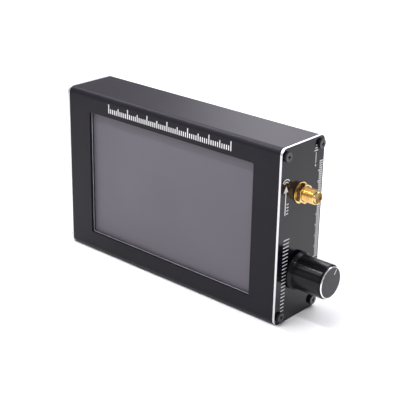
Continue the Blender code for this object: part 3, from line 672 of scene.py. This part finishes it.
def screw_shape(top, tip, radius):
    """A low-head screw on X with its seat at 0: a rolled thread and a tapered cross recess."""
    seat, seat_edge, top_edge = 0.02, 0.12, 0.2
    core, crest, pitch = 1.02, 1.2, 0.5
    profile = [(tip, 0), (tip, 0.7), (tip + 0.4, core)]
    x = tip + 0.5
    while x < -pitch:
        profile += [(x, core), (x + 0.2, crest), (x + 0.28, crest)]
        x += pitch
    profile += [(x, core), (seat, core), (seat, radius - seat_edge), (seat + seat_edge, radius)]
    profile += arc((top - top_edge, radius - top_edge), top_edge, 90, 0, 6)
    profile += [(top, radius - 2 * top_edge), (top, 0)]
    made = mesh_object("screw", turned(profile, 48, (0, 0)))

    wing_out, wing_in, half_width, depth, over = 1.2, 0.6, 0.28, 0.75, 0.3
    wing = [
        (top - depth, -wing_in), (top + over, -wing_out), (top + over, wing_out), (top - depth, wing_in),
    ]
    points, faces = prism(wing, "Z", -half_width, half_width)
    combine(made, (points, faces))
    combine(made, ([(x, z, y) for x, y, z in points], faces))
    soften(made, 0.04, lambda middle: middle.x > top - 0.01 and middle.yz.length < wing_out, 2)
    return as_shape(made)


def panel_screws(looks):
    """The eight screws, each at its own turn, with a burnished top painted lighter as a painted highlight,
    over sides painted darker and duller as painted shade.
    """
    low, high = box_of("right_panel_screw_1")
    points, faces = screw_shape(high.x - PANEL_OUT, low.x - PANEL_OUT, (high.y - low.y) / 2)

    # Top faces take the lighter copy, a painted highlight; the sides take the darker copy, a painted shade.
    def look_of(centre, normal):
        return 1 if abs(normal.x) > 0.99 and abs(centre.x) > high.x - 0.02 else 0
    turns = (24, 71, 38, 52)
    for side, label in ((1, "right"), (-1, "left")):
        for number, ((y, z), turn) in enumerate(zip(screw_places(), turns), 1):
            angle = math.radians(turn * side + 10 * number)
            place = Matrix.Translation((side * PANEL_OUT, y, z)) @ Matrix.Rotation(angle, 4, "X")
            if side < 0:
                place = place @ Matrix.Rotation(math.pi, 4, "Z")
            screw = mesh_object(f"{label}_screw_{number}", ([place @ Vector(p) for p in points], faces))
            piece(
                screw, [looks["screw"], looks["screw_top"]],
                nodes=[f"{label}_panel_screw_{number}"], choose=look_of,
            )


# ---------------------------------------------------------------- display
def display(looks):
    gasket_low, gasket_high = box_of("window_gasket")
    touch_low, touch_high = box_of("touch_panel")
    lip = 0.25
    front = FRONT + WALL + SEAM
    outline = rounded((gasket_low.x, gasket_low.z), (gasket_high.x, gasket_high.z), 1.0, 6)
    made = mesh_object("display_seal", prism(outline, "Y", front, touch_low.y - SEAM))
    combine(made, prism(window_outline(lip), "Y", front - 1, touch_low.y + 1))
    soften(made, 0.1, lambda middle: middle.y < front + 0.01, 2)

    # The seal's front face takes the light grey look, a painted highlight along the window's edge; the rest
    # is black foam.
    def look_of(centre, normal):
        return 1 if centre.y < front + 0.15 and normal.y < -0.3 else 0
    piece(made, [looks["foam"], looks["lip"]], nodes=["window_gasket"], choose=look_of)

    outline = rounded((touch_low.x, touch_low.z), (touch_high.x, touch_high.z), 0.8, 6)
    made = mesh_object("touch_surface", prism(outline, "Y", touch_low.y, touch_high.y))
    soften(made, 0.12, steps=2)
    piece(
        made, [looks["film"], looks["glass_edge"]], nodes=["touch_panel"],
        choose=lambda centre, normal: 0 if normal.y < -0.99 else 1,
    )


# ---------------------------------------------------------------- knob
def knob_profile(shoulder, chamfer):
    """(x, radius) points of the knob: a hollow, a flared skirt, the body, a bevel and a chamfer."""
    back, face = KNOB_LOW.x, KNOB_HIGH.x
    skirt, body, recess, cavity = (KNOB_HIGH.z - KNOB_LOW.z) / 2, 7.7, 6.5, face - 2.2
    profile = [(back, recess), (back, skirt - 0.2)]
    profile += arc((back + 0.25, skirt - 0.25), 0.25, 160, 90, 4)
    profile += arc((back + 0.75, skirt - 0.2), 0.2, 90, 30, 4)
    profile += [
        (back + 0.95 + 1.5 * t, body + (skirt - 0.1 - body) * (1 - t) ** 2.2)
        for t in (0.1, 0.2, 0.35, 0.5, 0.65, 0.8, 0.9, 1.0)
    ]
    profile += [(back + 2.6, body)]
    profile += arc((face - 1.3, body - 0.3), 0.3, 90, 55, 5)
    profile += [(face - chamfer - 0.04, shoulder + 0.02)]
    profile += [(face - chamfer, shoulder), (face - 0.03, shoulder - chamfer + 0.03)]
    profile += [(face, shoulder - chamfer - 0.03), (face, 0), (cavity, 0), (cavity, recess)]
    return profile


def pointer_outline(near, far, half):
    """A bar along the pointer, from near to far from the knob's axis, as (y, z) points."""
    along = Vector((math.sin(POINTER_ANGLE), math.cos(POINTER_ANGLE)))
    across = Vector((math.cos(POINTER_ANGLE), -math.sin(POINTER_ANGLE)))
    corners = ((near, -half), (near, half), (far, half), (far, -half))
    return [tuple(Vector(KNOB_AXIS) + along * reach + across * side) for reach, side in corners]


def knob(looks):
    """The turned knob with a glossy body, a bright chamfer, a spun face and a pointer."""
    face, shoulder, chamfer = KNOB_HIGH.x, 7.1, 0.35
    made = mesh_object("knob_body", turned(knob_profile(shoulder, chamfer), 160, KNOB_AXIS))
    combine(made, prism(pointer_outline(3.6, 6.2, 0.3), "X", face - 0.3, face + 1))

    def look_of(spot, normal):
        if spot.x > face - 0.01 and normal.x > 0.99:
            return 2
        radius = math.hypot(spot.y - KNOB_AXIS[0], spot.z - KNOB_AXIS[1])
        if spot.x > face - chamfer and radius > shoulder - chamfer - 0.1:
            return 1
        return 0
    piece(
        made, [looks["knob"], looks["chamfer"], looks["knob_face"]], "knob",
        ["knob_shell"], look_of,
    )
    inlay = prism(pointer_outline(3.65, 6.15, 0.26), "X", face - 0.28, face - 0.02)
    pointer = mesh_object("knob_pointer", inlay)
    soften(pointer, 0.04, steps=2)
    piece(pointer, looks["ink"], "knob")


# ---------------------------------------------------------------- nuts and washers
def nut(name, node, bore_radius, axis, look):
    """Hexagon nut with chamfered corners, as a hexagon cut down by a turned cone."""
    low, high = box_of(node)
    across = min(high.z - low.z, high.y - low.y)
    near, far = PANEL_OUT + WASHER + 2 * SEAM, high.x
    made = mesh_object(name, prism(hexagon(across, axis), "X", near, far))
    corner = across / math.sqrt(3)
    bite, flat = 0.45, across / 2 - 0.1
    trimmed = [
        (near - 1, corner + 1), (near - 1, flat), (near, flat), (near + bite, corner + 0.02),
        (far - bite, corner + 0.02), (far, flat), (far + 1, flat), (far + 1, corner + 1),
    ]
    combine(made, turned(trimmed, 72, axis))
    ease = 0.25
    hole = [
        (near - 1, 0), (near - 1, bore_radius + ease), (near, bore_radius + ease), (near + ease, bore_radius),
        (far - ease, bore_radius), (far, bore_radius + ease), (far + 1, bore_radius + ease), (far + 1, 0),
    ]
    combine(made, turned(hole, 64, axis))
    soften(made, 0.04, steps=1)
    piece(made, look, nodes=[node])


def washer(name, node, bore_radius, axis, look):
    low, high = box_of(node)
    near, far, radius = PANEL_OUT + 0.02, PANEL_OUT + WASHER + SEAM, (high.z - low.z) / 2
    ease = 0.08
    profile = [
        (near, bore_radius + ease), (near, radius - ease), (near + ease, radius),
        (far - ease, radius), (far, radius - ease), (far, bore_radius + ease),
        (far - ease, bore_radius), (near + ease, bore_radius),
    ]
    made = mesh_object(name, turned(profile, 96, axis))
    piece(made, look, nodes=[node])


# ---------------------------------------------------------------- antenna jack
def antenna_jack(looks):
    """Coaxial jack: a threaded barrel with board legs, an insulator, a slit contact, nut and washer."""
    crest, bore = 3.175, 2.3
    jack_barrel(crest, bore, looks)
    jack_core(bore, looks)
    nut("jack_hex_nut", "jack_nut", crest + 0.08, JACK_AXIS, looks["gold"])
    washer("jack_flat_washer", "jack_washer", crest + 0.15, JACK_AXIS, looks["gold_turned"])


def jack_barrel(crest, bore, looks):
    low, high = box_of("jack_body")
    tip, root, pitch = high.x, crest - 0.42, 25.4 / 36
    flange_out = PANEL_IN - SEAM
    flange_in = flange_out - 2.0
    profile = [(flange_in - 0.5, bore), (flange_in - 0.5, crest - 0.2), (PANEL_OUT + 0.6, crest - 0.2)]
    x = PANEL_OUT + 0.7
    while x + pitch < tip - 0.5:
        profile += [(x, root), (x + 0.30, crest), (x + 0.40, crest)]
        x += pitch
    profile += [(x, root), (tip - 0.35, root), (tip, root - 0.3), (tip, bore + 0.1), (tip - 0.1, bore)]
    made = mesh_object("jack_barrel", turned(profile, 96, JACK_AXIS))

    across_flats = 8.0
    flange = mesh_object("flange", prism(hexagon(across_flats, JACK_AXIS), "X", flange_in, flange_out))
    combine(flange, prism(circle(crest - 0.3, 64, JACK_AXIS), "X", flange_in - 1, flange_out + 1))
    combine(made, as_shape(flange), "UNION")
    board_low, board_high = box_of("main_board")
    leg_in = board_high.y - JACK_AXIS[0] + 0.25
    leg_out, leg_half_z, leg_spread = leg_in + 1.0, 0.5, 2.4
    for side_y in (-1, 1):
        near, far = sorted((JACK_AXIS[0] + side_y * leg_in, JACK_AXIS[0] + side_y * leg_out))
        for side_z in (-1, 1):
            z = JACK_AXIS[1] + side_z * leg_spread
            leg = block((low.x, near, z - leg_half_z), (flange_in + 0.4, far, z + leg_half_z))
            combine(made, leg, "UNION")
    piece(made, looks["gold_turned"], nodes=["jack_body"])


def jack_core(bore, looks):
    low, high = box_of("jack_insulator")
    profile = [
        (low.x, 0.95), (low.x, bore - 0.05), (high.x - 0.1, bore - 0.05), (high.x, bore - 0.15),
        (high.x, 1.05), (high.x - 0.1, 0.95),
    ]
    made = mesh_object("jack_core", turned(profile, 64, JACK_AXIS))
    piece(made, looks["ptfe"], nodes=["jack_insulator"])

    low, high = box_of("jack_contact")
    outer, inner, depth = 0.64, 0.46, 3.0
    profile = [
        (low.x, 0), (low.x, outer - 0.05), (low.x + 0.05, outer), (high.x - 0.15, outer),
        (high.x, outer - 0.08), (high.x, inner), (high.x - depth, inner), (high.x - depth, 0),
    ]
    made = mesh_object("jack_socket", turned(profile, 48, JACK_AXIS))
    slit, slit_depth = 0.07, 1.8
    y, z = JACK_AXIS
    for half_y, half_z in ((1.0, slit), (slit, 1.0)):
        cut_low = (high.x - slit_depth, y - half_y, z - half_z)
        combine(made, block(cut_low, (high.x + 1, y + half_y, z + half_z)))
    piece(made, looks["gold"], nodes=["jack_contact"])


# ---------------------------------------------------------------- left end's ports and switch
def usb_port(looks):
    """Charging socket: a drawn shell, and a blade with gold fingers on both faces."""
    low, high = box_of("usb_socket")
    wall, radius = 0.35, 1.5
    shell = rounded((low.y, low.z), (high.y, high.z), radius, 12)
    made = mesh_object("usb_shell", prism(shell, "X", low.x, high.x))
    bore = rounded((low.y + wall, low.z + wall), (high.y - wall, high.z - wall), radius - wall, 12)
    combine(made, prism(bore, "X", low.x - 1, high.x - 0.4))
    soften(made, 0.08, lambda middle: middle.x < low.x + 0.02, 2)
    piece(made, looks["steel"], nodes=["usb_socket"])

    inner_low, inner_high = box_of("usb_tongue")
    y, z = (low.y + high.y) / 2, (low.z + high.z) / 2
    half_y, half_z = 0.35, 3.35
    made = mesh_object("usb_blade", block(
        (inner_low.x, y - half_y, z - half_z), (inner_high.x - 0.2, y + half_y, z + half_z),
    ))
    soften(made, 0.12, lambda middle: middle.x < inner_high.x - 1, 2)
    root = rounded((y - 1.1, z - 3.8), (y + 1.1, z + 3.8), 0.8, 6)
    combine(made, prism(root, "X", inner_high.x - 1.4, inner_high.x), "UNION")
    piece(made, looks["black_plastic"], nodes=["usb_tongue"])
    fingers = []
    count, spacing, half = 12, 0.5, 0.12
    for side in (-1, 1):
        for i in range(count):
            middle = z + (i - (count - 1) / 2) * spacing
            near, far = sorted((y + side * (half_y - 0.02), y + side * (half_y + 0.03)))
            ends = inner_low.x + 0.35, inner_high.x - 1.5
            fingers.append(block((ends[0], near, middle - half), (ends[1], far, middle + half)))
    piece(mesh_object("usb_contacts", joined(*fingers)), looks["gold"])


def light_pipe(looks):
    """Clear pipe with a rounded end, in front of the charging lamp."""
    low, high = box_of("charge_light_pipe")
    radius = (high.z - low.z) / 2
    middle = ((low.y + high.y) / 2, (low.z + high.z) / 2)
    profile = [(high.x, 0), (high.x, radius)]
    profile += [(low.x + 0.35, radius)] + arc((low.x + 0.35, radius - 0.3), 0.3, 90, 155, 5)[1:]
    profile += [(low.x, radius * 0.45), (low.x, 0)]
    made = mesh_object("status_light_pipe", turned(profile, 48, middle))
    piece(made, looks["clear"], nodes=["charge_light_pipe"])


def power_lever(looks):
    """The slide switch's lever: a wide foot in its track, and a finger with grip grooves."""
    low, high = box_of("power_switch_lever")
    y = (low.y + high.y) / 2
    z = (low.z + high.z) / 2
    foot_front = high.x - 1.6
    made = mesh_object("power_lever", block((foot_front, low.y, low.z), (high.x, high.y, high.z)))
    finger_low = (low.x, y - FINGER_HALF_Y, z - FINGER_HALF_Z)
    finger_high = (foot_front + 0.8, y + FINGER_HALF_Y, z + FINGER_HALF_Z)
    finger = mesh_object("finger", block(finger_low, finger_high))
    soften(finger, 0.18, lambda middle: middle.x < foot_front - 0.2)
    groove, depth = 0.16, 0.25
    for offset in (-0.5, 0.0, 0.5):
        outline = [
            (low.x - 1, z + offset - groove), (low.x, z + offset - groove),
            (low.x + depth, z + offset), (low.x, z + offset + groove), (low.x - 1, z + offset + groove),
        ]
        combine(finger, prism(outline, "Y", y - 2, y + 2))
    combine(made, as_shape(finger), "UNION")
    piece(made, looks["black_plastic"], "switch_lever", ["power_switch_lever"])


# ---------------------------------------------------------------- printed marks
def ink_on_front(name, outlines, looks):
    """Flat marks in (x, z) outlines on the front of the case."""
    shapes = [prism(outline, "Y", FRONT, FRONT + INK + INK_ROOT) for outline in outlines]
    piece(mesh_object(name, joined(*shapes)), looks["ink"])


def ink_on_end(name, side, outlines, looks):
    """Flat marks in (y, z) outlines on an end plate."""
    near, far = sorted((side * (PANEL_OUT - INK_ROOT), side * (PANEL_OUT + INK)))
    shapes = [prism(outline, "X", near, far) for outline in outlines]
    piece(mesh_object(name, joined(*shapes)), looks["ink"])


def band(centre, radius, width, start, end, steps=16):
    """Outline of a ring's stretch between two angles in degrees."""
    outer = arc(centre, radius + width / 2, start, end, steps)
    return outer + arc(centre, radius - width / 2, end, start, steps)


def upright(middle, low, high, half=0.2):
    """A vertical bar on an end plate."""
    return rectangle((middle - half, low), (middle + half, high))


def level(middle, low, half, thickness=0.5):
    """A horizontal bar on an end plate."""
    return rectangle((middle - half, low), (middle + half, low + thickness))


def front_scale_marks(looks):
    """A frequency scale over the display: slim ticks on one line, with every fifth and tenth taller."""
    base, low_x, high_x, steps, half = 72.8, -36.2, 37.0, 60, 0.25
    outlines = []
    for i in range(steps + 1):
        x = low_x + (high_x - low_x) * i / steps
        height = 4.3 if i % 10 == 0 else 3.3 if i % 5 == 0 else 2.2
        outlines.append(upright(x, base, base + height, half))
    ink_on_front("front_scale_marks", outlines, looks)


def level_marks(looks):
    """Bars beside the knob that get longer upwards."""
    low_z, high_z, near_y, thickness, count = 5.6, 38.6, -11.0, 0.45, 21
    shortest, growth = 2.3, 1.7
    outlines = []
    for i in range(count):
        share = i / (count - 1)
        z = low_z + (high_z - low_z) * share
        outlines.append(rectangle((near_y, z), (near_y + shortest + growth * share, z + thickness)))
    ink_on_end("level_marks", 1, outlines, looks)


def antenna_marks(looks):
    """An arrow with two waves over it, beside the jack."""
    y, tail, head, point = -11.0, 50.4, 60.6, 63.4
    outlines = [upright(y, tail, head + 0.4, 0.3), [(y - 1.5, head), (y + 1.5, head), (y, point)]]
    for radius in (1.6, 2.7):
        outlines.append(band((y, point + 0.2), radius, 0.45, 35, 145))
    for i in range(4):
        outlines.append(level(y + 1.55, tail + 0.2 + 1.4 * i, 0.65))
    ink_on_end("antenna_marks", 1, outlines, looks)


def edge_marks(looks):
    """A fine scale along the right end's back edge, and a small aerial over it."""
    back_y, low_z, count, thickness = 13.8, 24.2, 45, 0.55
    outlines = []
    for i in range(count):
        reach = 3.0 if i % 5 == 0 else 2.2
        outlines.append(rectangle((back_y - reach, low_z + i), (back_y, low_z + i + thickness)))
    ink_on_end("edge_scale_marks", 1, outlines, looks)

    y = 8.7
    outlines = [circle(0.45, 20, (y, 67.4)), upright(y, 68.4, 73.2)]
    for z, half in ((73.8, 1.3), (74.9, 0.8), (76.0, 0.35)):
        outlines.append(level(y, z, half))
    ink_on_end("corner_marks", 1, outlines, looks)


def left_end_marks(looks):
    """Open and closed marks at the switch, a ray mark at the lamp and a plug mark at the socket."""
    y = 6.4
    lever_low, lever_high = box_of("power_switch_lever")
    switch_z = (lever_low.z + lever_high.z + SWITCH_TRAVEL) / 2
    marks = [upright(y, switch_z + 2.0, switch_z + 4.2), band((y, switch_z - 3.0), 1.0, 0.4, 0, 359, 32)]

    lamp_low, lamp_high = box_of("charge_light_pipe")
    centre = Vector((y, (lamp_low.z + lamp_high.z) / 2))
    marks.append(circle(0.55, 24, centre))
    rays, ray_near, ray_far, ray_half = 8, 1.0, 1.8, 0.16
    for i in range(rays):
        angle = 2 * math.pi * i / rays
        out = Vector((math.cos(angle), math.sin(angle)))
        side = Vector((-out.y, out.x)) * ray_half
        near, far = centre + out * ray_near, centre + out * ray_far
        marks.append([tuple(corner) for corner in (near + side, far + side, far - side, near - side)])

    socket_low, socket_high = box_of("usb_socket")
    z = (socket_low.z + socket_high.z) / 2
    marks.append(upright(y, z - 3.6, z + 0.6))
    marks.append([(y - 1.0, z + 0.8), (y + 1.0, z + 0.8), (y, z + 2.8)])
    marks.append(level(y, z + 3.2, 1.2, 0.4))
    ink_on_end("port_marks", -1, marks, looks)


# ---------------------------------------------------------------- CAD nodes that stay
def dress_nodes(looks):
    """Materials for the CAD nodes that stay as they are, most of them inside the case."""
    dressed = {
        "glass": ["display_glass"],
        "light_guide": ["display_backlight"],
        "steel": ["display_frame", "rf_shield", "power_switch_body"],
        "board": ["display_carrier_board", "main_board"],
        "amber": ["display_ribbon"],
        "white_plastic": [
            "display_ribbon_socket", "board_ribbon_socket", "battery_plug", "charge_led", "encoder_rotor",
        ],
        "chip": ["synthesizer_chip", "mixer_chip", "processor_chip"],
        "foil": ["battery_cell"],
        "foam": ["battery_pad"],
        "red_wire": ["battery_lead_positive"],
        "black_plastic": ["battery_lead_negative", "encoder_base", "knob_core"],
        "steel_turned": ["encoder_bushing", "encoder_dome", "encoder_shaft"],
        "brass": [f"standoff_{i}" for i in range(1, 5)],
    }
    dressed["steel"] += [f"board_screw_{i}" for i in range(1, 5)]
    for look, nodes in dressed.items():
        for node in nodes:
            for slot in frame["nodes"][node].material_slots:
                slot.material = looks[look]


# ---------------------------------------------------------------- the whole picture
def main():
    camera()
    studio()
    looks = make_looks()
    sleeve(looks)
    end_plates(looks)
    panel_screws(looks)
    display(looks)
    knob(looks)
    nut("encoder_hex_nut", "encoder_nut", 3.55, KNOB_AXIS, looks["steel"])
    washer("encoder_flat_washer", "encoder_washer", 3.6, KNOB_AXIS, looks["steel_turned"])
    antenna_jack(looks)
    usb_port(looks)
    light_pipe(looks)
    power_lever(looks)
    front_scale_marks(looks)
    level_marks(looks)
    antenna_marks(looks)
    edge_marks(looks)
    left_end_marks(looks)
    dress_nodes(looks)


main()
